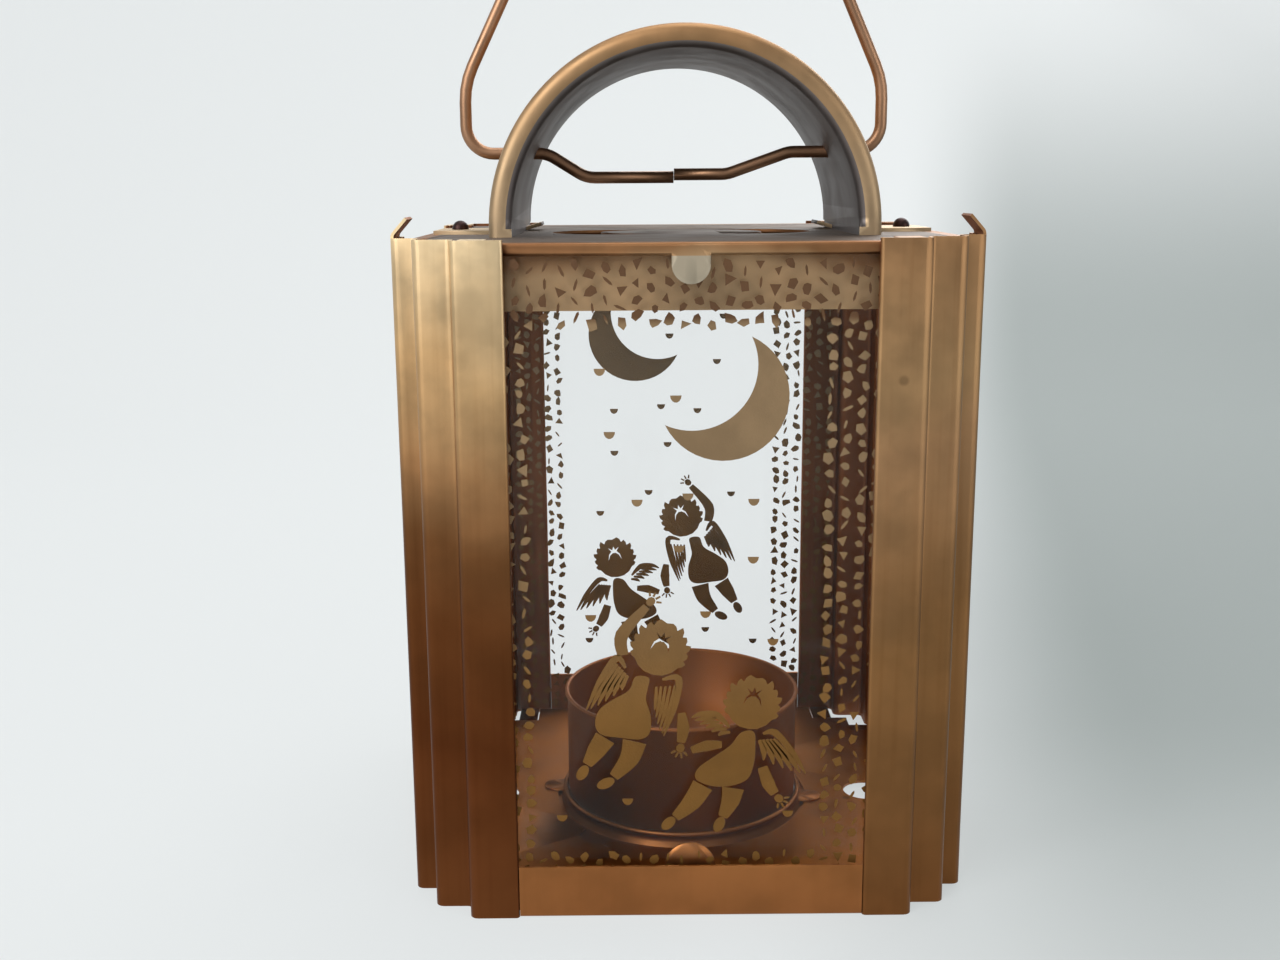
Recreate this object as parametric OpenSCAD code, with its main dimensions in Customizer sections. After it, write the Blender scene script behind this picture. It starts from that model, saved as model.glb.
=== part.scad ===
// A small hanging candle lantern: four stair-stepped corner posts of folded sheet
// crimp a base tray and a lid together and hold four glass panes between them.
// A strap arch on the lid carries a bent wire bail, and a twist-lock candle cup
// is put in through the floor. The bottom of the posts stands at height 0.

/* [Overall] */
// Width and depth over the faces of the corner posts
body_w = 100; // [86:1:180]
// Height of the corner posts
post_h = 118; // [80:1:220]
// Gap left between sheet parts that lie against each other
play = 0.05; // [0.03:0.01:0.1]

/* [Corner posts] */
// Thickness of the post sheet
post_t = 0.5; // [0.4:0.05:0.7]
// Width of a post face beside the window
face_w = 8.75; // [7.5:0.25:12]
// Depth of the outer stair step behind the face
step_outer = 4.45; // [3:0.05:6]
// Depth of the inner stair step at the corner
step_inner = 6.6; // [4:0.1:9]
// Radius of the stair bends at mid sheet
post_bend_r = 1.2; // [0.4:0.05:1.4]
// Radius of the lip rolled back at the window edge
lip_r = 0.4; // [0.35:0.05:0.7]
// Width of the lip that lies behind the face
lip_w = 3; // [2:0.1:4]
// Width of the tabs crimped over the lid and under the floor
crimp_w = 4.3; // [3:0.1:5]
// Length of a tab crimped over the lid
crimp_l = 5.5; // [3:0.1:8]
// Lap of a tab crimped under the floor's corner
foot_lap = 1.5; // [0.5:0.1:4]
// Width of the leaning tabs on the side faces of the front posts
lean_w = 6.6; // [4:0.1:8]
// Reach of a leaning tab in from the side face
lean_reach = 2.4; // [1:0.1:4]
// Rise of a leaning tab over the post
lean_rise = 3.2; // [2:0.1:4]

/* [Base tray] */
// Thickness of the tray sheet
tray_t = 0.5; // [0.4:0.05:0.8]
// Radius of the folds of tray and lid at mid sheet
fold_r = 0.3; // [0.28:0.01:0.35]
// Height of the rail's top edge over the table
rail_h = 9.5; // [7:0.1:16]
// Depth of the rail's face behind the post faces
rail_inset = 0.3; // [0.1:0.05:0.6]
// Gap between the floor's cut corner and the stair of the post
corner_gap = 4.2; // [1:0.1:5]
// Width of the half-round clips that hold the glass at the floor
clip_w = 9; // [6:0.1:12]
// Height of a clip's top over the table
clip_h = 12.1; // [9:0.1:20]

/* [Lid] */
// Thickness of the lid sheet
lid_t = 0.5; // [0.4:0.05:0.8]
// Gap between the lid's corner and the stair of the post
lid_corner_gap = 0.5; // [0.3:0.1:2]
// Height of the folded rim over the window
rim_h = 2.1; // [1.6:0.1:4]
// Height of the skirt that holds the glass from inside
skirt_h = 11.1; // [6:0.1:18]
// Width of the round ear that holds the glass from outside
ear_w = 6.3; // [4:0.1:9]
// Length of the ear under the rim
ear_l = 4.6; // [4:0.1:8]
// Radius of the outer edge of a crescent vent
vent_r = 12.4; // [9:0.1:13]
// Radius of the inner edge of a crescent vent
vent_inner_r = 11; // [7:0.1:12]
// Distance of a vent's centre from the middle of the lid
vent_x = 12.5; // [11:0.1:16]
// Shift of the vent's inner edge towards the middle
vent_shift = 8; // [5:0.1:9]

/* [Glass] */
// Thickness of a pane
glass_t = 2; // [1.5:0.1:3]
// Width of a pane hidden behind a post at each side
glass_lap = 2.6; // [2:0.1:4]

/* [Candle cup] */
// Outside diameter of the cup
cup_d = 47.2; // [40:0.1:60]
// Height of the cup's rim over the table
cup_h = 24.7; // [15:0.1:60]
// Wall of the cup
cup_t = 0.4; // [0.3:0.05:0.8]
// Diameter of the rolled rim
cup_rim_d = 0.9; // [0.8:0.05:1.5]

/* [Cup plate] */
// Thickness of the plate that locks the cup in the floor
plate_t = 0.4; // [0.35:0.05:0.4]
// Width of the plate's flange under the floor
flange_w = 8.2; // [7:0.1:9]
// Height of the collar's bead over the table
collar_h = 3; // [2.6:0.1:5]
// Spread of the collar at its foot
collar_spread = 1.1; // [0.8:0.1:1.5]
// Diameter of the bead round the collar's top
bead_d = 1.1; // [0.8:0.1:1.5]
// Reach of a locking lug over the floor
lug_l = 4.2; // [3:0.1:5]
// Width of a locking lug
lug_w = 5; // [3:0.1:6]
// Gap between the collar and the edge of the floor hole
hole_gap = 0.8; // [0.5:0.1:1.5]
// Angle of the lugs from the side of the lantern
lug_angle = -7; // [-15:1:5]
// Turn from locked to free
twist = 57; // [40:1:80]

/* [Arch handle] */
// Outside radius of the arch
arch_r = 35; // [28:0.1:38]
// Width of the strap from front to back
arch_w = 48.4; // [20:0.1:60]
// Thickness of the arch sheet
arch_t = 0.7; // [0.6:0.05:1]
// Thickness of the flat hollow section that the strap is folded to
arch_edge = 4.2; // [2.6:0.1:5]
// Radius of the section's corners at mid sheet
arch_bend_r = 1.4; // [0.8:0.1:1.8]
// Height of the arch's centre over the lid
arch_lift = 1.45; // [0.7:0.05:3]
// Length of the foot that lies on the lid beside the arch
arch_foot_l = 11.9; // [8.5:0.1:12]
// Width of the foot
arch_foot_w = 16; // [8:0.1:20]
// Length of the tongue bent up inside each leg
tongue_l = 3.6; // [3:0.1:8]
// Width of the tongue
tongue_w = 9; // [5:0.1:10]
// Tilt of the tongue
tongue_tilt = 16; // [10:1:25]

/* [Rivets] */
// Diameter of the rivet's round head
rivet_head_d = 3.2; // [2.6:0.1:3.6]
// Height of the rivet's head
rivet_head_h = 1.7; // [1:0.1:2]
// Diameter of the rivet's shank
rivet_d = 1.8; // [1.4:0.1:2.2]
// Thickness of the clinched end under the lid
clinch_h = 0.5; // [0.3:0.1:0.8]
// Distance of the rivet from the outside of the arch
rivet_out = 7.7; // [5:0.1:8]

/* [Wire bail] */
// Diameter of the wire
wire_d = 2.26; // [1.6:0.02:3]
// Height of the pivot holes over the lid
pivot_rise = 14.95; // [12:0.05:17]
// Radial clearance of the wire in its holes
pivot_play = 0.07; // [0.03:0.01:0.1]
// Half the distance between the shoulders of the bail
shoulder_x = 39.6; // [39:0.1:46]
// Height of the shoulders over the pivot
shoulder_rise = 13; // [12:0.1:20]
// Height of the crossing of the two sides over the pivot
apex_rise = 97; // [60:1:140]
// Bend radius at the pivot corners
corner_r = 5.2; // [4.5:0.1:5.3]
// Bend radius at the shoulders
shoulder_r = 15; // [8:0.1:20]
// Bend radius at the top
apex_r = 6; // [4:0.1:12]
// Drop of the wire's ends under the pivot
end_drop = 4.35; // [2:0.05:6]
// Half step between the heights of the two ends
end_step = 0.25; // [0:0.05:0.8]
// Half gap between the two ends
end_gap = 0.05; // [0.05:0.05:1]
// Mean distance from the middle where the low stretch of an end starts to rise
crank_in = 13.5; // [11:0.1:15]
// Mean distance from the middle where the crank meets the pivot's line
crank_out = 23.2; // [22:0.1:23.4]
// What the left crank's start is further out, and the right one's further in
crank_in_skew = 3.3; // [0:0.1:3.5]
// What the left crank's end is further out, and the right one's further in
crank_out_skew = 1.1; // [0:0.1:1.2]
// Bend radius of the crank
crank_r = 6; // [3:0.1:6]
// Lean of the top to the right of the shoulders' middle
apex_lean = 2; // [-4:0.1:4]
// Side shift of the bail in its holes
bail_shift = -1.4; // [-1.5:0.1:1.5]

/* [Hidden] */

gold = [0.72, 0.56, 0.35];
gold_dark = [0.56, 0.40, 0.24];
gold_pale = [0.80, 0.66, 0.46];
copper = [0.52, 0.33, 0.22];
steel_dark = [0.13, 0.10, 0.09];
pane_tint = [0.80, 0.87, 0.88, 0.35];

// Overrun of cuts past the faces that they open
over = 1;
// Straight pieces that each fold is made of
fold_steps = 4;
round_fn = 96;
wire_fn = 24;
// Largest turn of the wire between two of its stations
bend_step = 9;
small_fn = 32;

half = body_w / 2;
// Half the width of the window between two posts
win = half - face_w - step_inner - step_outer;
// Depth of a post face with its lip
lip_depth = post_t + 2 * lip_r;
// Outside of the rim, behind the lips
rim_out = half - lip_depth - play;
rim_mid = rim_out - lid_t / 2;
// The rail between the lips, and half its length
rail_mid = half - rail_inset - tray_t / 2;
rail_half = win - play;
// Outside and inside of the glass
glass_out = rim_out - lid_t - play;
glass_in = glass_out - glass_t;
// Half the length of rims, skirts and panes
edge_half = win + glass_lap;
// Inside of the posts' stair
stair_in = half - step_outer - post_t;
stair_side = stair_in - step_inner;

// Underside and top of the floor
floor_z = post_t + play;
floor_top = floor_z + tray_t;
// Top of the lid, which lies under the crimped tabs
lid_top = post_h - post_t - play;
lid_mid = lid_top - lid_t / 2;
// Mid sheet of the folded rim's return over the glass
rim_under = lid_top - rim_h + lid_t / 2;
glass_top = lid_top - rim_h - play;
glass_bottom = floor_top + play;
clip_mid = glass_in - play - tray_t / 2;
skirt_mid = glass_in - play - lid_t / 2;

// The cup, its plate and the hole they go through
cup_r = cup_d / 2;
plate_z = floor_z - play - plate_t;
collar_r = cup_r + play + plate_t / 2;
collar_foot_r = collar_r + collar_spread;
flange_r = collar_foot_r + flange_w;
hole_r = collar_foot_r + plate_t / 2 + hole_gap;
lug_z = floor_top + play;
lug_in_r = collar_r + plate_t / 4;
lug_out_r = collar_foot_r + lug_l;
// Round lobes of the hole that let the lugs through
lobe_r = lug_w / 2 + 2 * hole_gap;
lobe_c = lug_out_r + hole_gap - lobe_r;

// The arch and the bail
arch_z = lid_top + arch_lift;
// Middle of the strap's inner sheet
strap_in = arch_r - arch_edge + arch_t / 2;
pivot_z = lid_top + pivot_rise;
wire_r = wire_d / 2;
rivet_x = arch_r + rivet_out;

function unit(v) = v / norm(v);
function left_of(v) = [-v.y, v.x];
function turn_of(a, b) = atan2(a.x * b.y - a.y * b.x, a * b);
function turned(v, a) = [v.x * cos(a) - v.y * sin(a), v.x * sin(a) + v.y * cos(a)];

// One side of a folded sheet: the path's own points moved out by side, with each
// corner rounded at mid radius r
function side_of(path, r, side) = [
    for (i = [0:len(path) - 1])
        let (
            d0 = unit(path[max(i, 1)] - path[max(i, 1) - 1]),
            last = min(i, len(path) - 2),
            d1 = unit(path[last + 1] - path[last]),
            turn = turn_of(d0, d1),
            hand = sign(turn)
        )
        if (abs(turn) < 1) path[i] + left_of(d0) * side
        else
            let (centre = path[i] - d0 * r * tan(abs(turn) / 2) + left_of(d0) * hand * r)
            for (k = [0:fold_steps])
                centre + turned(-left_of(d0) * hand, turn * k / fold_steps) * (r - hand * side)
];

// Section of a sheet of thickness t folded along a path at mid sheet
module folded(path, r, t) {
    back = side_of(path, r, -t / 2);
    polygon(concat(side_of(path, r, t / 2), [for (i = [len(back) - 1:-1:0]) back[i]]));
}

// Draws its children once towards each of the four sides, starting at the front
module four_sides() {
    for (a = [0:90:270])
        rotate([0, 0, a])
            children();
}

// A section in (outward, up) extruded along the front side, centred, w wide
module along_front(w) {
    rotate([90, 0, -90])
        translate([0, 0, -w / 2])
            linear_extrude(w)
                children();
}

// Upright tongue in the plane of the front, its round end at z_end
module tongue_2d(w, z_root, z_end) {
    dir = sign(z_end - z_root);
    hull() {
        translate([0, z_end - dir * w / 2])
            circle(d = w, $fn = small_fn);
        translate([-w / 2, min(z_root, z_root + dir * play)])
            square([w, play]);
    }
}

// Plan of a plate between the posts: a cross of half width side, reaching out to
// reach, round a square of half width corner
module plate_plan(side, reach, corner) {
    square([2 * side, 2 * reach], center = true);
    square([2 * reach, 2 * side], center = true);
    square(2 * corner, center = true);
}

module floor_plan() {
    difference() {
        plate_plan(edge_half, glass_out, stair_in - corner_gap);
        circle(hole_r, $fn = round_fn);
        for (a = [0, 180])
            rotate([0, 0, lug_angle + twist + a])
                translate([lobe_c, 0])
                    circle(lobe_r, $fn = small_fn);
        // What the four clips were cut out of
        four_sides()
            translate([0, -clip_mid - fold_r])
                clip_slot();
    }
}

module clip_slot() {
    slot_l = clip_h - floor_z - tray_t / 2 + 2 * fold_r;
    translate([-clip_w / 2, 0])
        square([clip_w, slot_l - clip_w / 2]);
    translate([0, slot_l - clip_w / 2])
        circle(d = clip_w, $fn = small_fn);
}

module base_tray() {
    mid_z = floor_z + tray_t / 2;
    color(gold_dark) {
        translate([0, 0, floor_z])
            linear_extrude(tray_t)
                floor_plan();
        four_sides() {
            // The floor's edge is pressed down to the table and turned up as the rail
            along_front(2 * rail_half)
                folded([[glass_in, mid_z], [glass_out, mid_z], [glass_out + floor_z, tray_t / 2],
                        [rail_mid, tray_t / 2], [rail_mid, rail_h]],
                       fold_r, tray_t);
            intersection() {
                along_front(clip_w)
                    folded([[clip_mid + 2 * fold_r, mid_z], [clip_mid, mid_z], [clip_mid, clip_h]],
                           fold_r, tray_t);
                translate([0, -clip_mid + over, 0])
                    rotate([90, 0, 0])
                        linear_extrude(2 * over)
                            tongue_2d(clip_w, 0, clip_h);
            }
        }
    }
}

module crescent() {
    difference() {
        circle(vent_r, $fn = round_fn);
        translate([-vent_shift, 0])
            circle(vent_inner_r, $fn = round_fn);
    }
}

module lid() {
    rim_bottom = lid_top - rim_h;
    color(gold_dark) {
        translate([0, 0, lid_top - lid_t])
            linear_extrude(lid_t)
                difference() {
                    plate_plan(edge_half, rim_mid - fold_r, stair_in - lid_corner_gap);
                    for (m = [0, 1])
                        mirror([m, 0]) {
                            translate([vent_x, 0])
                                crescent();
                            translate([rivet_x, 0])
                                circle(d = rivet_d + 2 * play, $fn = small_fn);
                        }
                }
        four_sides() {
            // Rim folded back under itself over the glass, then down as the skirt
            along_front(2 * edge_half)
                folded([[rim_mid - 2 * fold_r, lid_mid], [rim_mid, lid_mid], [rim_mid, rim_under],
                        [skirt_mid, rim_under], [skirt_mid, lid_top - skirt_h]],
                       fold_r, lid_t);
            // Round ear in front of the glass
            translate([0, -rim_out + lid_t, 0])
                rotate([90, 0, 0])
                    linear_extrude(lid_t)
                        tongue_2d(ear_w, rim_bottom + fold_r + lid_t / 2, rim_bottom - ear_l);
        }
    }
}

// Stair-shaped section of the front right post, at mid sheet
function stair_path() = let (
        m = half - post_t / 2,
        a = m - step_outer,
        b = a - step_inner,
        c = win + post_t / 2,
        back = m - 2 * lip_r
    ) [
        [win + lip_w, -back], [c, -back], [c, -m], [b, -m], [b, -a], [a, -a],
        [a, -b], [m, -b], [m, -c], [back, -c], [back, -win - lip_w]
    ];

// Section of a post, with tight bends at its two lips and wider ones at its steps
module stair_section() {
    path = stair_path();
    n = len(path);
    lip = [path[0], path[1], path[2], (path[2] + path[3]) / 2];
    steps = [lip[3], path[3], path[4], path[5], path[6], path[7], (path[7] + path[8]) / 2];
    folded(lip, lip_r, post_t);
    folded(steps, post_bend_r, post_t);
    folded([steps[6], path[n - 3], path[n - 2], path[n - 1]], lip_r, post_t);
}

// A post with its two faces towards the front and the side. The side face carries a
// leaning tab, or a crimped one like the front face.
module corner_post(leaning) {
    mid = half - post_t / 2;
    // Where a face starts to bend into the stair
    flat_end = stair_side + post_t / 2 - post_bend_r;
    // Middle of a face's flat stretch beside the lip, and of the whole flat stretch
    tab_mid = (win + lip_w + flat_end) / 2;
    lean_mid = (win + post_t / 2 + lip_r + flat_end) / 2;
    color(gold) {
        linear_extrude(post_h)
            stair_section();
        // Tabs crimped under the floor, one from each face
        for (side = [0, 1])
            mirror([side, side, 0])
                translate([tab_mid, 0, 0])
                    along_front(crimp_w)
                        folded([[mid, rail_h], [mid, post_t / 2],
                                [stair_in - corner_gap - foot_lap, post_t / 2]],
                               fold_r, post_t);
        // Tabs crimped flat over the lid
        for (side = leaning ? [0] : [0, 1])
            mirror([side, side, 0])
                translate([tab_mid, 0, 0])
                    along_front(crimp_w)
                        folded([[mid, lid_top - skirt_h], [mid, post_h - post_t / 2],
                                [mid - crimp_l, post_h - post_t / 2]],
                               fold_r, post_t);
        // Tab left standing and bent inward
        if (leaning)
            translate([0, -lean_mid, 0])
                rotate([0, 0, 90])
                    along_front(lean_w)
                        folded([[mid, lid_top - skirt_h], [mid, post_h + post_t],
                                [mid - lean_reach, post_h + lean_rise]],
                               post_bend_r, post_t);
    }
}

module post_front_right() {
    corner_post(true);
}

module post_front_left() {
    mirror([1, 0, 0])
        corner_post(true);
}

module post_back_right() {
    mirror([0, 1, 0])
        corner_post(false);
}

module post_back_left() {
    rotate([0, 0, 180])
        corner_post(false);
}

module glass_pane() {
    color(pane_tint)
        translate([-edge_half, -glass_out, glass_bottom])
            cube([2 * edge_half, glass_t, glass_top - glass_bottom]);
}

module glass_front() {
    glass_pane();
}

module glass_back() {
    rotate([0, 0, 180])
        glass_pane();
}

module glass_left() {
    rotate([0, 0, -90])
        glass_pane();
}

module glass_right() {
    rotate([0, 0, 90])
        glass_pane();
}

// Section of the strap in (radius, depth): folded all round, with its seam at the
// front inner corner
module strap_section() {
    outer = arch_r - arch_t / 2;
    side = arch_w / 2 - arch_t / 2;
    folded([[strap_in, arch_t / 2 + play - side], [strap_in, side], [outer, side], [outer, -side],
            [strap_in - arch_t / 2, -side]],
           min(arch_bend_r, (outer - strap_in) / 2 - play), arch_t);
}

module arch_leg() {
    translate([0, 0, lid_top])
        linear_extrude(arch_z - lid_top)
            strap_section();
    // Foot folded outward over the lid
    difference() {
        translate([arch_r - arch_t, -arch_foot_w / 2, lid_top])
            cube([arch_t + arch_foot_l, arch_foot_w, arch_t]);
        translate([rivet_x, 0, lid_top - over])
            cylinder(h = arch_t + 2 * over, d = rivet_d + 2 * play, $fn = small_fn);
    }
    // Tongue bent up inside the leg
    translate([strap_in, arch_w / 2 - arch_edge, lid_top])
        rotate([0, tongue_tilt, 0])
            translate([-tongue_l, -tongue_w, 0])
                cube([tongue_l, tongue_w, arch_t]);
}

module arch_handle() {
    color(gold_pale)
        difference() {
            union() {
                translate([0, 0, arch_z])
                    rotate([90, 0, 0])
                        rotate_extrude(angle = 180, $fn = round_fn)
                            strap_section();
                arch_leg();
                mirror([1, 0, 0])
                    arch_leg();
            }
            // Pivot holes of the bail
            translate([-arch_r - over, 0, pivot_z])
                rotate([0, 90, 0])
                    cylinder(h = 2 * (arch_r + over), r = wire_r + pivot_play, $fn = wire_fn);
        }
}

// A rivet with a round head, a shank and a clinched end
module rivet() {
    head_z = lid_top + arch_t;
    low_z = lid_top - lid_t - clinch_h;
    head_r = rivet_head_d / 2;
    ball_r = (head_r * head_r + rivet_head_h * rivet_head_h) / (2 * rivet_head_h);
    intersection() {
        translate([0, 0, head_z + rivet_head_h - ball_r])
            sphere(ball_r, $fn = small_fn);
        translate([0, 0, head_z])
            cylinder(h = rivet_head_h, r = head_r, $fn = small_fn);
    }
    translate([0, 0, low_z])
        cylinder(h = head_z + play - low_z, d = rivet_d, $fn = small_fn);
    translate([0, 0, low_z])
        cylinder(h = clinch_h, r = (rivet_d + rivet_head_d) / 4, $fn = small_fn);
}

module arch_rivets() {
    color(steel_dark)
        for (m = [0, 1])
            mirror([m, 0, 0])
                translate([rivet_x, 0, 0])
                    rivet();
}

// Stations along a plane path with a bend radius at each corner, as [place, direction]
function stations(path, radii) = [
    for (i = [0:len(path) - 1])
        let (
            d0 = unit(path[max(i, 1)] - path[max(i, 1) - 1]),
            last = min(i, len(path) - 2),
            d1 = unit(path[last + 1] - path[last]),
            turn = turn_of(d0, d1),
            out = -left_of(d0) * sign(turn),
            centre = path[i] - d0 * radii[i] * tan(abs(turn) / 2) - out * radii[i],
            steps = max(1, ceil(abs(turn) / bend_step))
        )
        if (abs(turn) < 1) [path[i], d0]
        else
            for (k = [0:steps])
                [centre + turned(out, turn * k / steps) * radii[i], turned(d0, turn * k / steps)]
];

// Round wire swept through the stations of a plane path
module wire_run(path, radii, d) {
    places = stations(path, radii);
    n = len(places);
    points = [
        for (s = places, k = [0:wire_fn - 1])
            let (
                a = 360 * k / wire_fn,
                flat = s[0] + left_of(s[1]) * cos(a) * d / 2
            )
            [flat.x, flat.y, sin(a) * d / 2]
    ];
    sides = [
        for (i = [0:n - 2], k = [0:wire_fn - 1])
            let (next = (k + 1) % wire_fn, here = i * wire_fn, there = here + wire_fn)
            [here + k, here + next, there + next, there + k]
    ];
    caps = [
        [for (k = [wire_fn - 1:-1:0]) k],
        [for (k = [0:wire_fn - 1]) (n - 1) * wire_fn + k]
    ];
    polyhedron(points, concat(sides, caps));
}

// One half of the bail from its end to the shoulder, for the right side (1) or the
// left (-1)
function half_bail(side) = [
    for (p = [[end_gap, side * end_step - end_drop],
              [crank_in - side * crank_in_skew, side * end_step - end_drop],
              [crank_out - side * crank_out_skew, 0],
              [shoulder_x, 0],
              [shoulder_x, shoulder_rise]])
        [side * p.x, p.y]
];

module bail_wire() {
    right = half_bail(1);
    left = half_bail(-1);
    left_back = [for (i = [len(left) - 1:-1:0]) left[i]];
    bends = [0, crank_r, crank_r, corner_r, shoulder_r];
    bends_back = [for (i = [len(bends) - 1:-1:0]) bends[i]];
    color(copper)
        translate([bail_shift, 0, pivot_z])
            rotate([90, 0, 0])
                wire_run(concat(right, [[apex_lean, apex_rise]], left_back),
                         concat(bends, [apex_r], bends_back), wire_d);
}

module candle_cup() {
    rim_z = cup_h - cup_rim_d / 2;
    color(gold_pale)
        rotate_extrude($fn = round_fn) {
            translate([0, plate_z])
                square([cup_r, cup_t]);
            translate([cup_r - cup_t, plate_z])
                square([cup_t, rim_z - plate_z]);
            translate([cup_r - cup_t + cup_rim_d / 2, rim_z])
                circle(d = cup_rim_d, $fn = small_fn);
        }
}

module cup_plate() {
    mid_z = plate_z + plate_t / 2;
    color(gold_dark) {
        rotate_extrude($fn = round_fn) {
            folded([[flange_r, mid_z], [collar_foot_r, mid_z], [collar_r, collar_h]],
                   fold_r, plate_t);
            translate([cup_r + play + bead_d / 2, collar_h])
                circle(d = bead_d, $fn = small_fn);
        }
        for (a = [0, 180])
            rotate([0, 0, lug_angle + a])
                translate([lug_in_r, 0, lug_z])
                    linear_extrude(plate_t) {
                        translate([0, -lug_w / 2])
                            square([lug_out_r - lug_in_r - lug_w / 2, lug_w]);
                        translate([lug_out_r - lug_in_r - lug_w / 2, 0])
                            circle(d = lug_w, $fn = small_fn);
                    }
    }
}

base_tray();
lid();
post_front_left();
post_front_right();
post_back_left();
post_back_right();
glass_front();
glass_back();
glass_left();
glass_right();
arch_handle();
arch_rivets();
bail_wire();
candle_cup();
cup_plate();
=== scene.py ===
"""A small hanging candle lantern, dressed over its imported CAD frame."""
import math
import random

import bmesh
import bpy
from mathutils import Matrix, Vector, noise


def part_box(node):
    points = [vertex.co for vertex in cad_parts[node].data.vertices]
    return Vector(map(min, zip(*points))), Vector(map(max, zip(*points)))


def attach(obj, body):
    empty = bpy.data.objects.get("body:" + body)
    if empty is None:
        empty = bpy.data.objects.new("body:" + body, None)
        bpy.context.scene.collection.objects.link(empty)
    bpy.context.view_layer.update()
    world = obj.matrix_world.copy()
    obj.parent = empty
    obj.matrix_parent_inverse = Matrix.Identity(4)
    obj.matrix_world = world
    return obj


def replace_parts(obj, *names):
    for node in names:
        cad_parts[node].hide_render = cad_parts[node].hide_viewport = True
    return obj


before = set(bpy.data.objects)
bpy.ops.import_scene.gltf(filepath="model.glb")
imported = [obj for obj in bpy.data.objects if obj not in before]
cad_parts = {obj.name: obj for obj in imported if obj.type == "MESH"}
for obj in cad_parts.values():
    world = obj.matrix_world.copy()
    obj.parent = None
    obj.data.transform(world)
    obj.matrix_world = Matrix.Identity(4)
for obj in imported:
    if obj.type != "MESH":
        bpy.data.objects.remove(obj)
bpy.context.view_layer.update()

MM = 0.001

# Distance under which two vertices of a mesh are one
WELD = 1e-7

# Largest angle, in degrees, at which two faces still look like one smooth surface
CRISP = 35

# Places of the pieces, taken from the frame
PANE_LOW, PANE_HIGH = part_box("glass_front")
ARCH_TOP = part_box("arch_handle")[1].z

# Half the width of a pane, and the panes with their turns from the front
PANE_HALF = 38.0 * MM
PANES = (("front", 0), ("right", 90), ("back", 180), ("left", 270))

# Bottom of the lid's rim, where the ears begin
RIM_BOTTOM = 115.3 * MM

# Where the top of the lid, painted grey as a reflection of the wall in shade, gives way to its golden edge
LID_EDGE = 45.5 * MM

# Outside radius of the arch and thickness of its strap
ARCH_R = 35.0 * MM
STRAP = 4.2 * MM

# The print is a thin foil on the outside of each pane
FOIL = 0.04 * MM

# The print's border, in mm: how far its side bands stay from the pane's middle, where they begin and end,
# and the space for one pebble
BAND_IN = 24.2
BAND_BOTTOM = 11.5
BAND_TOP = 103.5
PEBBLE = 2.5

# What each pane's figures and border are shifted to the right by, in mm
SHIFTS = {"front": (-1.8, -2.4), "right": (0.0, 0.0), "back": (1.75, 1.7), "left": (0.0, 0.0)}

# Places of the print's small stars, in mm
STARS = ((-0.7, 92), (-11.7, 86), (1.3, 75.5), (-7.2, 74.5), (12.3, 74.5), (-0.2, 66.5), (12.3, 64.5),
         (4.3, 55), (-15.2, 54.5), (15.8, 50), (18.8, 18.5), (-9.2, 21), (-20.7, 18), (-13.2, 96.5))


# Materials

class Nodes:
    """A material's node tree, with short calls to add and link nodes."""

    def __init__(self, name):
        self.material = bpy.data.materials.new(name)
        self.material.use_nodes = True
        self.tree = self.material.node_tree
        self.tree.nodes.clear()
        self.output = self.tree.nodes.new("ShaderNodeOutputMaterial")

    def add(self, kind, links=None, **settings):
        """Adds a node. Settings are its properties, links its inputs: a value or another node's output."""
        node = self.tree.nodes.new("ShaderNode" + kind)
        for key, value in settings.items():
            setattr(node, key, value)
        for key, value in (links or {}).items():
            self.feed(node.inputs[key], value)
        return node

    def feed(self, socket, value):
        """Links an input to another node's output, or sets it to a value."""
        if isinstance(value, bpy.types.NodeSocket):
            self.tree.links.new(value, socket)
        else:
            socket.default_value = value

    def math(self, operation, a, b=0.0, c=0.0):
        return self.add("Math", {0: a, 1: b, 2: c}, operation=operation).outputs[0]

    def spread(self, value, low, high, to_low=0.0, to_high=1.0, course="SMOOTHSTEP"):
        """Maps value from low..high to to_low..to_high, clamped."""
        links = {"Value": value, "From Min": low, "From Max": high, "To Min": to_low, "To Max": to_high}
        return self.add("MapRange", links, interpolation_type=course).outputs[0]

    def noise(self, where, scale, detail=3.0):
        links = {"Vector": where, "Scale": scale, "Detail": detail, "Roughness": 0.55}
        return self.add("TexNoise", links).outputs["Fac"]

    def mix(self, factor, a, b, blend="MIX"):
        """Mixes two colours."""
        node = self.add("Mix", data_type="RGBA", blend_type=blend)
        for socket, value in ((0, factor), (6, a), (7, b)):
            self.feed(node.inputs[socket], value)
        return node.outputs[2]

    def scaled(self, colour, factor):
        """Multiplies a colour by a number."""
        grey = self.add("CombineColor", {0: factor, 1: factor, 2: factor}).outputs[0]
        return self.mix(1.0, colour, grey, "MULTIPLY")

    def ramp(self, value, stops):
        """Colour ramp with stops of (place, colour)."""
        node = self.add("ValToRGB", {"Fac": value})
        elements = node.color_ramp.elements
        while len(elements) < len(stops):
            elements.new(0.5)
        for element, (place, colour) in zip(elements, stops):
            element.position = place
            element.color = (*colour, 1.0)
        return node.outputs[0]

    def surface(self, shader):
        """Makes a shader the material's surface, and returns the finished material."""
        self.tree.links.new(shader, self.output.inputs["Surface"])
        return self.material


def even(colour):
    """Stops for aged_metal that keep one colour all the way up."""
    return [(0.0, colour), (1.0, colour)]


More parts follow.
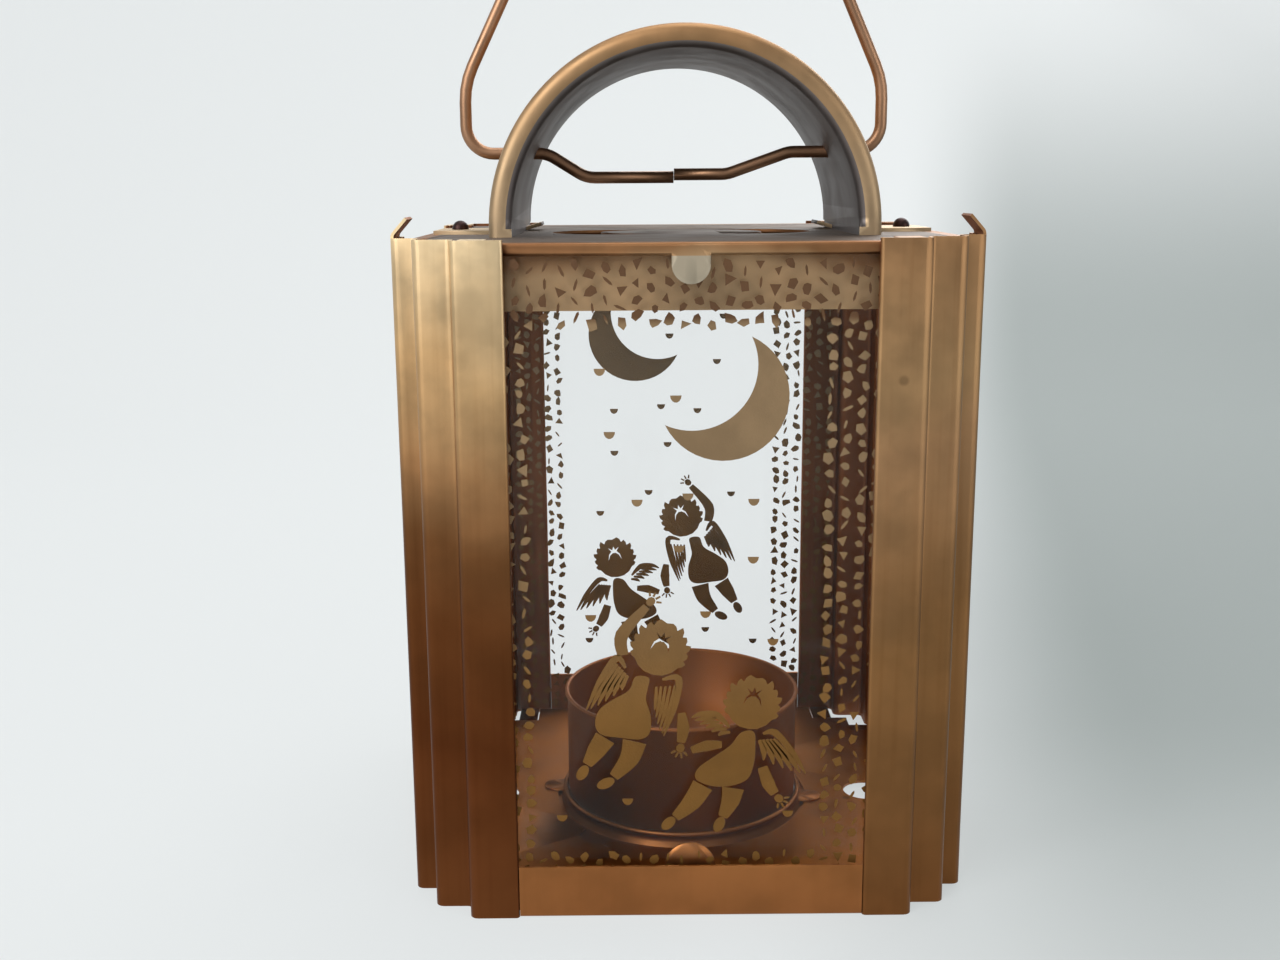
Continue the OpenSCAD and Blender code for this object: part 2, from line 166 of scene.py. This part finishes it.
def aged_metal(name, stops, roughness, streaks=0.1, specks=0.5, wear=0.3, metallic=1.0):
    """Lacquered sheet metal. Its colour runs up the object in stops of (height in metres, colour)."""
    n = Nodes(name)
    where = n.add("TexCoord").outputs["Object"]
    height = n.add("SeparateXYZ", {0: where}).outputs["Z"]
    low, high = stops[0][0], stops[-1][0]
    drift = n.math("MULTIPLY_ADD", n.noise(where, 22.0), 0.03, -0.015)
    share = n.spread(n.math("ADD", height, drift), low, high, course="LINEAR")
    colour = n.ramp(share, [((z - low) / (high - low), c) for z, c in stops])
    # Cloudy tarnish and fine vertical streaks from handling and drawing
    colour = n.scaled(colour, n.spread(n.noise(where, 60.0, 5.0), 0.35, 0.7, 0.86, 1.12))
    long_way = n.add("Mapping", {"Vector": where, "Scale": (1.0, 1.0, 0.03)}).outputs[0]
    streak = n.spread(n.noise(long_way, 700.0, 2.0), 0.45, 0.75)
    darker = n.mix(1.0, colour, (0.78, 0.70, 0.62, 1.0), "MULTIPLY")
    colour = n.mix(n.math("MULTIPLY", streak, streaks), colour, darker)
    # Small dark specks where the lacquer is broken
    cells = n.add("TexVoronoi", {"Vector": where, "Scale": 260.0, "Randomness": 1.0})
    pick = n.spread(cells.outputs["Color"], 0.86, 0.9)
    spot = n.spread(cells.outputs["Distance"], 0.12, 0.3, 1.0, 0.0)
    patch = n.spread(n.noise(where, 45.0), 0.5, 0.62)
    speck = n.math("MULTIPLY", n.math("MULTIPLY", pick, spot), patch)
    colour = n.mix(n.math("MULTIPLY", speck, specks), colour, (0.06, 0.035, 0.02, 1.0))
    # Bends and edges are rubbed brighter
    bevel = n.add("Bevel", {"Radius": 0.0011}, samples=4)
    true_normal = n.add("NewGeometry").outputs["Normal"]
    likeness = n.add("VectorMath", {0: bevel.outputs[0], 1: true_normal}, operation="DOT_PRODUCT")
    rub = n.spread(likeness.outputs["Value"], 0.8, 0.995, 1.0, 0.0)
    ragged = n.spread(n.noise(where, 350.0, 4.0), 0.3, 0.65)
    rubbed = n.mix(1.0, colour, (1.7, 1.75, 1.8, 1.0), "MULTIPLY")
    colour = n.mix(n.math("MULTIPLY", n.math("MULTIPLY", rub, ragged), wear), colour, rubbed)
    # Roughness and bump
    rough = n.spread(n.noise(where, 120.0, 4.0), 0.3, 0.7, roughness - 0.05, roughness + 0.08)
    fine = n.math("MULTIPLY", n.noise(where, 2600.0, 2.0), 0.006)
    wave = n.math("MULTIPLY", n.noise(where, 130.0, 2.0), 0.05)
    relief = n.math("SUBTRACT", n.math("ADD", fine, wave), n.math("MULTIPLY", speck, 0.03))
    bump = n.add("Bump", {"Strength": 0.6, "Distance": 0.001, "Height": relief})
    shader = n.add("BsdfPrincipled", {
        "Base Color": colour, "Metallic": metallic, "Roughness": rough, "Normal": bump.outputs[0]})
    return n.surface(shader.outputs[0])


def clear_glass(name):
    """Thin window glass. It takes a little of the light, and mirrors more the flatter one looks along it."""
    n = Nodes(name)
    where = n.add("TexCoord").outputs["Object"]
    smear = n.spread(n.noise(where, 38.0, 5.0), 0.45, 0.75, 0.03, 0.12)
    facing = n.add("LayerWeight", {"Blend": 0.5}).outputs["Facing"]
    slant = n.math("MULTIPLY", n.math("POWER", facing, 5.0), 0.4)
    colour = n.mix(n.spread(slant, 0.0, 0.1), (0.30, 0.34, 0.34, 1.0), (0.90, 0.95, 0.95, 1.0))
    shader = n.add("BsdfPrincipled", {
        "Base Color": colour, "Metallic": 1.0, "Roughness": smear, "Alpha": n.math("ADD", slant, 0.03)})
    return n.surface(shader.outputs[0])


def print_foil(name):
    """Matt gold ink with a little grain, redder low down on a pane, and dark over the lid's skirt as a
    painted shadow of the print on the skirt.
    """
    red_gold, pale_gold = (0.185, 0.086, 0.017, 1.0), (0.27, 0.178, 0.094, 1.0)
    brown = (0.125, 0.062, 0.029, 1.0)
    n = Nodes(name)
    where = n.add("TexCoord").outputs["Object"]
    height = n.add("SeparateXYZ", {0: where}).outputs["Z"]
    colour = n.mix(n.spread(height, 0.03, 0.085), red_gold, pale_gold)
    # Painted shadow: over the skirt the ink turns dark brown, for the print's shadow on the skirt behind it
    colour = n.mix(n.spread(height, 0.1040, 0.1056), colour, brown)
    colour = n.scaled(colour, n.spread(n.noise(where, 90.0, 4.0), 0.3, 0.7, 0.86, 1.1))
    bump = n.add("Bump", {"Strength": 0.3, "Distance": 0.0002, "Height": n.noise(where, 3000.0, 2.0)})
    shader = n.add("BsdfPrincipled", {
        "Base Color": colour, "Metallic": 0.7, "Roughness": 0.5, "Normal": bump.outputs[0]})
    return n.surface(shader.outputs[0])


def plain_backdrop(name):
    """Pale wall and floor with a painted shadow low on the right. Seen by camera, gloss or glass they glow
    evenly elsewhere, with a faint shadow.
    """
    pale, painted_shadow_grey = (0.86, 0.895, 0.90, 1.0), (0.28, 0.325, 0.315, 1.0)
    n = Nodes(name)
    place = n.add("NewGeometry").outputs["Position"]
    axes = n.add("SeparateXYZ", {0: place}).outputs
    # A painted shadow darkens the wall low down on the right, and the floor in front half as much
    slanted = n.math("SUBTRACT", axes["X"], n.math("MULTIPLY", axes["Y"], 0.22))
    aside = n.spread(slanted, 0.015, 0.105)
    low = n.spread(axes["Z"], 0.03, 0.27, 1.0, 0.0)
    behind = n.spread(axes["Y"], -0.12, 0.05, 0.5, 1.0)
    shade = n.mix(n.math("MULTIPLY", aside, n.math("MULTIPLY", low, behind)), pale, painted_shadow_grey)
    path = n.add("LightPath").outputs
    seen = n.math("MAXIMUM", path["Is Glossy Ray"], path["Is Transmission Ray"])
    seen = n.math("MAXIMUM", path["Is Camera Ray"], seen)
    glow = n.add("Emission", {"Color": shade, "Strength": 0.86})
    matt = n.add("BsdfDiffuse", {"Color": (0.80, 0.82, 0.82, 1.0)})
    both = n.add("MixShader", {0: n.math("MULTIPLY", seen, 0.85), 1: matt.outputs[0], 2: glow.outputs[0]})
    return n.surface(both.outputs[0])


# Camera, floor and light

def camera():
    """The camera of the photograph: near the front pane's top, looking a little down."""
    f_px, width_px, sensor = 1407.2, 1280.0, 36.0
    place = Vector((-0.00944, -0.27696, 0.12700))
    yaw, pitch, roll = 0.0042, 0.209, -0.0067
    ahead = Vector((math.sin(yaw) * math.cos(pitch), math.cos(yaw) * math.cos(pitch), -math.sin(pitch)))
    level = Vector((math.cos(yaw), -math.sin(yaw), 0.0))
    upright = level.cross(ahead)
    right = level * math.cos(roll) + upright * math.sin(roll)
    up = upright * math.cos(roll) - level * math.sin(roll)
    data = bpy.data.cameras.new("camera")
    data.sensor_width = sensor
    data.lens = f_px * sensor / width_px
    data.clip_start = 0.01
    data.clip_end = 20.0
    cam = bpy.data.objects.new("camera", data)
    cam.matrix_world = Matrix((
        (right.x, up.x, -ahead.x, place.x),
        (right.y, up.y, -ahead.y, place.y),
        (right.z, up.z, -ahead.z, place.z),
        (0.0, 0.0, 0.0, 1.0)))
    bpy.context.scene.collection.objects.link(cam)
    bpy.context.scene.camera = cam


def area_lamp(name, place, target, size, power):
    """A white rectangular lamp that looks at its target."""
    data = bpy.data.lights.new(name, "AREA")
    data.shape = "RECTANGLE"
    data.size, data.size_y = size
    data.energy = power
    lamp = bpy.data.objects.new(name, data)
    lamp.location = place
    lamp.rotation_mode = "QUATERNION"
    lamp.rotation_quaternion = (Vector(target) - Vector(place)).to_track_quat("-Z", "Y")
    bpy.context.scene.collection.objects.link(lamp)


def backdrop():
    """A floor that sweeps up into a wall."""
    wall_y, wall_top, half_width, cove, front_y, steps = 0.75, 1.6, 2.4, 0.3, -1.6, 16
    profile = [(front_y, 0.0), (wall_y - cove, 0.0)]
    for step in range(1, steps + 1):
        a = math.radians(90 * step / steps)
        profile.append((wall_y - cove + cove * math.sin(a), cove - cove * math.cos(a)))
    profile.append((wall_y, wall_top))
    verts = [(x, y, z) for y, z in profile for x in (-half_width, half_width)]
    faces = [(2 * i, 2 * i + 1, 2 * i + 3, 2 * i + 2) for i in range(len(profile) - 1)]
    mesh = bpy.data.meshes.new("backdrop")
    mesh.from_pydata(verts, [], faces)
    mesh.shade_smooth()
    mesh.materials.append(plain_backdrop("backdrop"))
    sweep = bpy.data.objects.new("backdrop", mesh)
    bpy.context.scene.collection.objects.link(sweep)


def light():
    """The lamps and the even grey of the room."""
    middle = (0.0, 0.0, 0.08)
    area_lamp("window", (-0.75, -0.85, 0.75), middle, (0.7, 0.8), 14.0)
    area_lamp("fill", (0.9, -0.7, 0.35), middle, (0.6, 0.6), 3.0)
    area_lamp("top", (0.1, 0.15, 1.1), middle, (0.8, 0.8), 6.0)
    area_lamp("back", (0.3, 0.6, 0.5), middle, (0.5, 0.5), 3.0)
    world = bpy.data.worlds.new("room")
    world.use_nodes = True
    background = world.node_tree.nodes["Background"]
    background.inputs["Color"].default_value = (0.93, 0.95, 0.96, 1.0)
    background.inputs["Strength"].default_value = 0.45
    bpy.context.scene.world = world
    bpy.context.scene.view_settings.view_transform = "Standard"


# Sheet metal and glass

def welded(node):
    """A copy of a CAD node's mesh with its split vertices joined, as a bmesh."""
    bm = bmesh.new()
    bm.from_mesh(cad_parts[node].data)
    bmesh.ops.remove_doubles(bm, verts=bm.verts, dist=WELD)
    bmesh.ops.dissolve_degenerate(bm, edges=bm.edges, dist=WELD)
    return bm


def sliced_at(bm, axis, place):
    """Cuts the faces along the plane across the axis at that place."""
    normal = Vector((0.0, 0.0, 0.0))
    normal[axis] = 1.0
    geometry = bm.verts[:] + bm.edges[:] + bm.faces[:]
    bmesh.ops.bisect_plane(bm, geom=geometry, dist=WELD, plane_co=normal * place, plane_no=normal)


def sliced(bm, axis, step):
    """Cuts long faces across the axis, so that they can follow a gentle wave."""
    low = min(v.co[axis] for v in bm.verts)
    high = max(v.co[axis] for v in bm.verts)
    place = low + step
    while place < high - step / 2:
        sliced_at(bm, axis, place)
        place += step


def waved(bm, height, length, seed):
    """Moves the vertices by a smooth noise of that height, as hand-folded sheet is never quite flat."""
    shift = Vector((seed * 3.1, seed * 1.7, seed * 2.3))
    for v in bm.verts:
        v.co += noise.noise_vector(v.co / length + shift) * height


def piece(name, bm, body, materials):
    """Turns a bmesh into an object that rides on a body."""
    mesh = bpy.data.meshes.new(name)
    bm.to_mesh(mesh)
    bm.free()
    for material in materials:
        mesh.materials.append(material)
    mesh.shade_smooth()
    mesh.set_sharp_from_angle(angle=math.radians(CRISP))
    obj = bpy.data.objects.new(name, mesh)
    bpy.context.scene.collection.objects.link(obj)
    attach(obj, body)
    return obj


def dressed(node, body, slot, *materials, cuts=()):
    """Stands a smoothly shaded copy in for a CAD node. The cuts, as (axis, place), part its faces."""
    bm = welded(node)
    for axis, place in cuts:
        sliced_at(bm, axis, place)
    obj = piece(node + "_dressed", bm, body, materials)
    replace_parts(obj, node)
    return obj


def refinish(obj, index, chosen):
    """Gives the faces that are chosen by their centre and normal another finish."""
    for face in obj.data.polygons:
        if chosen(face.center, face.normal):
            face.material_index = index


def faces_arch_axis(centre, normal):
    """Whether a face of the strap looks at the arch's axis."""
    out = Vector((centre.x, 0.0, max(centre.z - ARCH_TOP + ARCH_R, 0.0)))
    return out.length < ARCH_R - STRAP / 2 and normal.dot(out) < -0.5 * out.length


def faces_out_of_ear(centre, normal):
    """Whether a face of the lid is the outside of one of the round ears that hang from its rim."""
    ear_half, rim_face = 6 * MM, 46 * MM
    along, out = sorted((abs(centre.x), abs(centre.y)))
    return along < ear_half and out > rim_face and centre.z < RIM_BOTTOM and abs(normal.z) < 0.3


def faces_inward(centre, normal):
    """Whether a face looks at the upright axis of the lantern."""
    return normal.x * centre.x + normal.y * centre.y < -0.3 * MM


def faces_up(centre, normal):
    """Whether a face looks up."""
    return normal.z > 0.7


def posts():
    """The posts on the left are bright gold above and dark below, those on the right an even brown gold:
    painted light and shade.
    """
    # Painted light: the left posts grow bright towards the top as a painted reflection of the bright room,
    # and dark below; the right posts stay a shaded brown gold
    left = [(0.0, (0.145, 0.048, 0.015)), (0.034, (0.115, 0.034, 0.010)), (0.050, (0.130, 0.045, 0.014)),
            (0.066, (0.185, 0.078, 0.028)), (0.081, (0.36, 0.19, 0.082)), (0.097, (0.55, 0.35, 0.17)),
            (0.121, (0.82, 0.63, 0.38))]
    right = [(0.0, (0.195, 0.078, 0.025)), (0.050, (0.27, 0.135, 0.051)), (0.081, (0.40, 0.226, 0.110)),
             (0.097, (0.43, 0.26, 0.125)), (0.121, (0.35, 0.19, 0.088))]
    finish = {"left": aged_metal("post_gold_painted_light_left", left, 0.42, streaks=0.3),
              "right": aged_metal("post_gold_painted_shade_right", right, 0.42, streaks=0.3)}
    # Painted shade: the inward faces of the posts get a separate, darker red brown for the shade inside the
    # lantern
    shaded_inside = aged_metal("post_inside_painted_shade", [(0.0, (0.24, 0.082, 0.030)), (0.121, (0.24, 0.100, 0.048))],
                        0.5, specks=0.0)
    slice_step, wave_height, wave_length, noise_seed = 4 * MM, 0.05 * MM, 22 * MM, 7
    # Without a seed the noise would be another one at each start
    noise.seed_set(noise_seed)
    for i, node in enumerate(("post_front_left", "post_front_right", "post_back_left", "post_back_right")):
        bm = welded(node)
        sliced(bm, 2, slice_step)
        waved(bm, wave_height, wave_length, i + 1)
        obj = piece(node + "_sheet", bm, "root", [finish[node.split("_")[-1]], shaded_inside])
        refinish(obj, 1, faces_inward)
        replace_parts(obj, node)


def tray(brown_gold):
    """The tray of brown gold sheet, a little redder on its floor."""
    floor = aged_metal("floor_gold", even((0.34, 0.125, 0.028)), 0.5)
    refinish(dressed("base_tray", "root", "tray_sheet", brown_gold, floor), 1, faces_up)


def lid():
    """A golden skirt, a browner rim, a top painted grey as a reflection of the wall in shade, and pale ears.
    """
    gold = aged_metal("lid_gold", [(0.100, (0.45, 0.29, 0.155)), (0.112, (0.45, 0.29, 0.155)),
                                   (0.115, (0.27, 0.135, 0.06)), (0.118, (0.25, 0.115, 0.05))], 0.48)
    # Painted reflection and shade: the top is grey brown instead of the lid's gold
    top = aged_metal("lid_top", even((0.13, 0.10, 0.08)), 0.6)
    ear = aged_metal("lid_ear", even((0.42, 0.36, 0.27)), 0.55, streaks=0.0)
    cuts = [(2, RIM_BOTTOM), (0, -LID_EDGE), (0, LID_EDGE), (1, -LID_EDGE), (1, LID_EDGE)]
    obj = dressed("lid", "root", "tray_sheet", gold, top, ear, cuts=cuts)
    refinish(obj, 1, lambda centre, normal:
             faces_up(centre, normal) and max(abs(centre.x), abs(centre.y)) < LID_EDGE)
    refinish(obj, 2, faces_out_of_ear)


def arch():
    """A satin gold strap, paler on the legs and darker at the crown as painted light and shade, and painted
    grey towards the arch's axis as a reflection of the wall in shade.
    """
    # Painted light and shade: pale gold low on the legs for a highlight, darker gold at the crown
    gold = aged_metal("arch_gold_painted_light", [(0.117, (0.50, 0.37, 0.23)), (0.140, (0.37, 0.24, 0.13)),
                                    (0.154, (0.34, 0.195, 0.092))], 0.5, wear=0.15)
    # Painted reflection and shade: the faces towards the arch's axis are grey instead of gold
    grey = aged_metal("arch_inside_painted_reflection", [(0.117, (0.17, 0.15, 0.145)), (0.154, (0.20, 0.18, 0.17))], 0.55)
    refinish(dressed("arch_handle", "root", "arch_sheet", gold, grey), 1, faces_arch_axis)


def cup_and_plate(brown_gold):
    """A golden brown cup with a dark red floor, and the plate that locks it in the tray. Both are deepened in
    red as painted bounce light.
    """
    floor_top = 5 * MM
    # Painted bounce light: the cup's gold and its floor's red are deepened, for light thrown back from the
    # gold around them
    gold = aged_metal("cup_gold", [(0.0, (0.29, 0.086, 0.012)), (0.025, (0.31, 0.096, 0.015))], 0.5,
                      specks=0.0, metallic=0.6)
    red = aged_metal("cup_floor", even((0.30, 0.032, 0.012)), 0.6, streaks=0.0, specks=0.0, metallic=0.4)
    refinish(dressed("candle_cup", "cup", "cup_sheet", gold, red), 1,
             lambda centre, normal: faces_up(centre, normal) and centre.z < floor_top)
    dressed("cup_plate", "cup", "tray_sheet", brown_gold)


def bail_and_rivets():
    """Coppery wire and blackened rivets."""
    copper = aged_metal("bail_copper", [(0.12, (0.34, 0.19, 0.11)), (0.23, (0.36, 0.21, 0.13))], 0.42)
    dressed("bail_wire", "bail", "bail_copper", copper)
    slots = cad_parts["arch_rivets"].data.materials
    slots.clear()
    slots.append(aged_metal("rivet_dark", even((0.04, 0.022, 0.020)), 0.4, streaks=0.0))


def panes():
    """The panes reach further behind the posts than the solids of the frame do, as their print does."""
    glass = clear_glass("window_glass")
    for side, angle in PANES:
        bm = bmesh.new()
        bmesh.ops.create_cube(bm, size=1.0)
        low = Vector((-PANE_HALF, PANE_LOW.y, PANE_LOW.z))
        high = Vector((PANE_HALF, PANE_HIGH.y, PANE_HIGH.z))
        turn = Matrix.Rotation(math.radians(angle), 3, "Z")
        for v in bm.verts:
            v.co = turn @ ((low + high) / 2 + v.co * (high - low))
        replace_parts(piece("pane_" + side, bm, "root", [glass]), "glass_" + side)


# The print: outlines in mm, to the right and up from the middle of a pane's foot

def curve_through(points, closed=False, steps=5):
    """Points along a smooth curve through the given ones."""
    n = len(points)
    made = []
    for i in range(n if closed else n - 1):
        if closed:
            a, b, c, d = (points[(i + k) % n] for k in (-1, 0, 1, 2))
        else:
            a, b, c, d = points[max(i - 1, 0)], points[i], points[i + 1], points[min(i + 2, n - 1)]
        for step in range(steps):
            t = step / steps
            made.append((b * 2 + (c - a) * t + (a * 2 - b * 5 + c * 4 - d) * t ** 2
                         + (b * 3 - a - c * 3 + d) * t ** 3) / 2)
    return made if closed else made + [points[-1]]


def turned(centre, x, y, turn):
    """The point at x, y from the centre, in axes turned by turn."""
    return Vector((centre[0] + x * math.cos(turn) - y * math.sin(turn),
                   centre[1] + x * math.sin(turn) + y * math.cos(turn)))


def blob(*points):
    """Smooth closed outline through the points."""
    return curve_through([Vector(p) for p in points], closed=True)


def ribbon(points, widths, steps=5):
    """Outline of a stroke along the points, with a width at each of them."""
    line = curve_through([Vector(p) for p in points], steps=steps)
    left, right = [], []
    for i, p in enumerate(line):
        ahead = (line[min(i + 1, len(line) - 1)] - line[max(i - 1, 0)]).normalized()
        k = min(i // steps, len(widths) - 2)
        share = i / steps - k
        reach = (widths[k] * (1 - share) + widths[k + 1] * share) / 2
        across = Vector((-ahead.y, ahead.x)) * reach
        left.append(p + across)
        right.append(p - across)
    return left + right[::-1]


def oval(centre, r, wide=1.0, turn=0.0, sides=12):
    """Outline of an oval of radius r, stretched to wide times that along its turned first axis."""
    angles = [2 * math.pi * i / sides for i in range(sides)]
    return [turned(centre, r * wide * math.cos(a), r * math.sin(a), turn) for a in angles]


def crescent():
    """The moon: the outer circle's arc and back along the inner one."""
    outer, inner, r = Vector((7.2, 92.4)), Vector((2.0, 97.5)), 10.8
    apart = inner - outer
    towards = math.atan2(apart.y, apart.x)
    half_gap = math.acos(apart.length / 2 / r)
    steps = 28
    made = []
    for i in range(steps + 1):
        a = towards + half_gap + (2 * math.pi - 2 * half_gap) * i / steps
        made.append(outer + Vector((math.cos(a), math.sin(a))) * r)
    for i in range(1, steps):
        a = towards + math.pi + half_gap - 2 * half_gap * i / steps
        made.append(inner + Vector((math.cos(a), math.sin(a))) * r)
    return made


def half_star(place):
    """A small bowl shape with a flat top."""
    u, z = place
    width, depth, steps = 1.9, 1.2, 7
    angles = [math.pi * i / steps for i in range(steps + 1)]
    return [Vector((u - width / 2 * math.cos(a), z + depth / 2 - depth * math.sin(a))) for a in angles]


def wing(root, bend, tip, low):
    """A thick leading edge, and feathers that fan out between the wing's tip and its low end by the body."""
    feathers = 5
    root, bend, tip, low = (Vector(p) for p in (root, bend, tip, low))
    crest = (bend + tip) / 2 + (bend - root) * 0.15
    shapes = [ribbon([root.lerp(bend, 0.3), bend, crest, tip], [0.4, 1.3, 1.0, 0.2])]
    pitch = (low - tip).length / feathers
    for i in range(feathers):
        share = (i + 0.7) / feathers
        start = bend.lerp(root, share) + (low - root) * 0.24
        end = tip.lerp(low, share) + (tip - bend) * 0.06 * math.sin(math.pi * share)
        middle = start.lerp(end, 0.55) + (tip - low) * 0.05
        shapes.append(ribbon([start, middle, end], [0.36 * pitch, 0.64 * pitch, 0.2]))
    return shapes


def head_and_hair(centre, r, crown):
    """A tousled head seen from behind, in two halves that leave a star-shaped whorl open between them."""
    whorl = [(0.0, 0.66), (0.07, 0.46), (0.27, 0.60), (0.13, 0.40), (0.27, 0.24), (0.33, -0.06), (0.22, 0.20),
             (0.06, 0.32), (0.0, 0.30)]
    shapes = []
    for side, tips in ((1, (1.03, 1.08, 1.03, 1.13, 1.07, 1.12)), (-1, (1.05, 1.02, 1.10, 1.04, 1.14, 1.06))):
        rim = [(180, 0.94), (160, 0.95), (140, 0.94)]
        for i, tip in enumerate(tips):
            a = 122 - 19 * i
            rim += [(a, 0.92), (a - 7, (0.94 + tip) / 2 + 0.02), (a - 15, tip)]
        rim.append((0, 1.0))
        points = whorl + [(k * math.sin(math.radians(a)), k * math.cos(math.radians(a))) for a, k in rim]
        shapes.append([turned(centre, y * r, side * x * r, crown) for x, y in points])
    return shapes


def hand(place, turn):
    """A small palm with four fingers."""
    palm, knuckle, fingertip = 0.75, 0.95, 1.85
    shapes = [oval(place, palm, wide=1.15, turn=turn, sides=10)]
    for aside in (-0.9, -0.3, 0.3, 0.9):
        finger = [turned(place, reach, 0.0, turn + aside) for reach in (knuckle, fingertip)]
        shapes.append(ribbon(finger, [0.4, 0.3], steps=2))
    return shapes


def upper_figure():
    """The winged child that reaches up: head, wings, tunic, legs, feet, arms and hands."""
    shapes = head_and_hair((-3.5, 48.8), 4.9, math.radians(75))
    shapes += wing((-4.3, 43.4), (-0.3, 43.6), (-2.9, 33.2), (-4.5, 38.4))
    shapes += wing((-8.7, 44.8), (-10.9, 47.4), (-16.2, 38.0), (-9.5, 42.0))
    shapes.append(blob((-5.4, 43.8), (-7.7, 44.0), (-8.8, 41.6), (-11.6, 39.9), (-14.0, 38.0), (-14.7, 35.4),
                       (-13.6, 33.5), (-10.2, 32.9), (-6.9, 32.6), (-5.3, 33.8), (-5.1, 36.8), (-5.9, 39.8),
                       (-5.6, 41.8)))
    shapes.append(ribbon([(-7.9, 32.2), (-8.9, 29.0), (-11.6, 25.7)], [4.2, 3.4, 1.7]))
    shapes.append(ribbon([(-13.0, 32.9), (-14.6, 30.5), (-16.2, 28.0)], [3.8, 3.2, 1.7]))
    shapes.append(oval((-13.0, 24.5), 0.95, wide=1.75, turn=math.radians(205)))
    shapes.append(oval((-17.0, 26.5), 0.95, wide=1.6, turn=math.radians(240)))
    shapes.append(ribbon([(-9.8, 47.9), (-9.9, 51.6), (-5.7, 56.5)], [1.9, 2.3, 1.3]))
    shapes.append(ribbon([(0.2, 37.4), (0.5, 34.6), (0.1, 31.9)], [1.3, 2.2, 1.4]))
    return shapes + hand((-5.0, 57.4), math.radians(45)) + hand((0.0, 30.9), math.radians(-100))


def lower_figure():
    """The winged child beside it, with the same parts. One of its hands is hidden."""
    shapes = head_and_hair((12.4, 38.8), 4.8, math.radians(82))
    shapes += wing((9.4, 33.8), (6.3, 36.9), (1.9, 36.5), (6.9, 33.0))
    shapes += wing((13.4, 33.4), (16.4, 33.6), (21.8, 26.0), (13.9, 28.8))
    shapes.append(blob((10.5, 33.7), (12.7, 33.8), (13.0, 30.8), (12.7, 27.6), (11.6, 25.0), (8.6, 23.8),
                       (5.2, 23.9), (2.7, 25.2), (3.1, 27.2), (6.0, 29.4), (8.7, 31.4)))
    shapes.append(ribbon([(3.9, 24.0), (2.0, 20.9), (-0.9, 18.0)], [3.8, 3.3, 1.6]))
    shapes.append(ribbon([(9.2, 23.4), (8.7, 20.9), (7.4, 18.0)], [3.9, 3.2, 1.6]))
    shapes.append(oval((-2.1, 16.9), 0.95, wide=1.6, turn=math.radians(225)))
    shapes.append(oval((6.8, 16.6), 0.95, wide=1.6, turn=math.radians(245)))
    shapes.append(ribbon([(14.3, 27.3), (15.3, 24.3), (16.5, 22.3)], [1.7, 2.3, 1.5]))
    shapes.append(ribbon([(7.2, 31.5), (4.6, 31.3), (1.9, 30.5)], [1.2, 2.0, 1.2]))
    return shapes + hand((17.2, 21.4), math.radians(-45))


def pebble(chance, centre, across, along):
    """One piece of the border: an uneven stone, a splinter or a short dash."""
    kind = chance.random()
    if kind < 0.5:
        sides, wide, long, least = chance.choice((5, 6, 7)), across * 0.41, along * 0.52, 0.55
    elif kind < 0.75:
        sides, wide, long, least = chance.choice((3, 4)), across * 0.47, along * 0.54, 0.62
    else:
        sides, wide, long, least = 6, across * 0.12, along * 0.44, 0.8
    turn = chance.gauss(0.0, 0.7)
    size = chance.uniform(0.8, 1.04)
    made = []
    for i in range(sides):
        a = 2 * math.pi * (i + 0.5) / sides
        k = chance.uniform(least, 1.0) * size
        made.append(turned(centre, wide * k * math.cos(a), long * k * math.sin(a), turn))
    return made


def border(chance, shift):
    """Pebbles in bands round the pane, as (left, bottom, right, top)."""
    edge, low, high = PANE_HALF / MM - 0.5, PANE_LOW.z / MM + 0.6, PANE_HIGH.z / MM - 0.6
    bands = [(-edge, BAND_BOTTOM, -BAND_IN + shift, BAND_TOP), (BAND_IN + shift, BAND_BOTTOM, edge, BAND_TOP),
             (-edge, BAND_TOP, edge, high), (-edge, low, edge, BAND_BOTTOM)]
    shapes = []
    for left, bottom, right, top in bands:
        columns = max(round((right - left) / PEBBLE), 1)
        rows = round((top - bottom) / PEBBLE)
        wide, tall = (right - left) / columns, (top - bottom) / rows
        for column in range(columns):
            step = 0.2 if column % 2 else -0.2
            for row in range(rows):
                u = left + wide * (column + 0.5 + chance.uniform(-0.15, 0.15))
                z = bottom + tall * (row + 0.5 + step + chance.uniform(-0.15, 0.15))
                shapes.append(pebble(chance, (u, z), wide, tall))
    return shapes


def foil_plate(bm, outline, turn):
    """Adds one shape of the print to the pane that faces the front turned by turn."""
    rings = []
    for lift in (0.0, FOIL):
        ring = []
        for p in outline:
            place = Vector((p.x * MM, PANE_LOW.y - lift, p.y * MM))
            ring.append(bm.verts.new(turn @ place))
        rings.append(ring)
    bm.faces.new(rings[1])
    bm.faces.new(rings[0][::-1])
    for i in range(len(outline)):
        k = (i + 1) % len(outline)
        bm.faces.new((rings[0][i], rings[0][k], rings[1][k], rings[1][i]))


def prints():
    """The gold print: a moon, stars, two winged figures seen from behind and a border of pebbles. On the
    front and back panes it sits a little to one side, as in the photograph."""
    foil = print_foil("print_gold_and_painted_shadow")
    first_seed = 40
    for i, (side, angle) in enumerate(PANES):
        shift, border_shift = SHIFTS[side]
        shapes = [crescent()] + [half_star(p) for p in STARS] + upper_figure() + lower_figure()
        shapes = [[p + Vector((shift, 0.0)) for p in outline] for outline in shapes]
        shapes += border(random.Random(first_seed + i), border_shift)
        bm = bmesh.new()
        turn = Matrix.Rotation(math.radians(angle), 3, "Z")
        for outline in shapes:
            foil_plate(bm, outline, turn)
        bmesh.ops.recalc_face_normals(bm, faces=bm.faces)
        piece("print_" + side, bm, "root", [foil])


camera()
backdrop()
light()
posts()
tray_gold = aged_metal("tray_gold", [(0.0, (0.30, 0.116, 0.038)), (0.014, (0.34, 0.135, 0.044))], 0.45)
tray(tray_gold)
lid()
arch()
cup_and_plate(tray_gold)
bail_and_rivets()
panes()
prints()
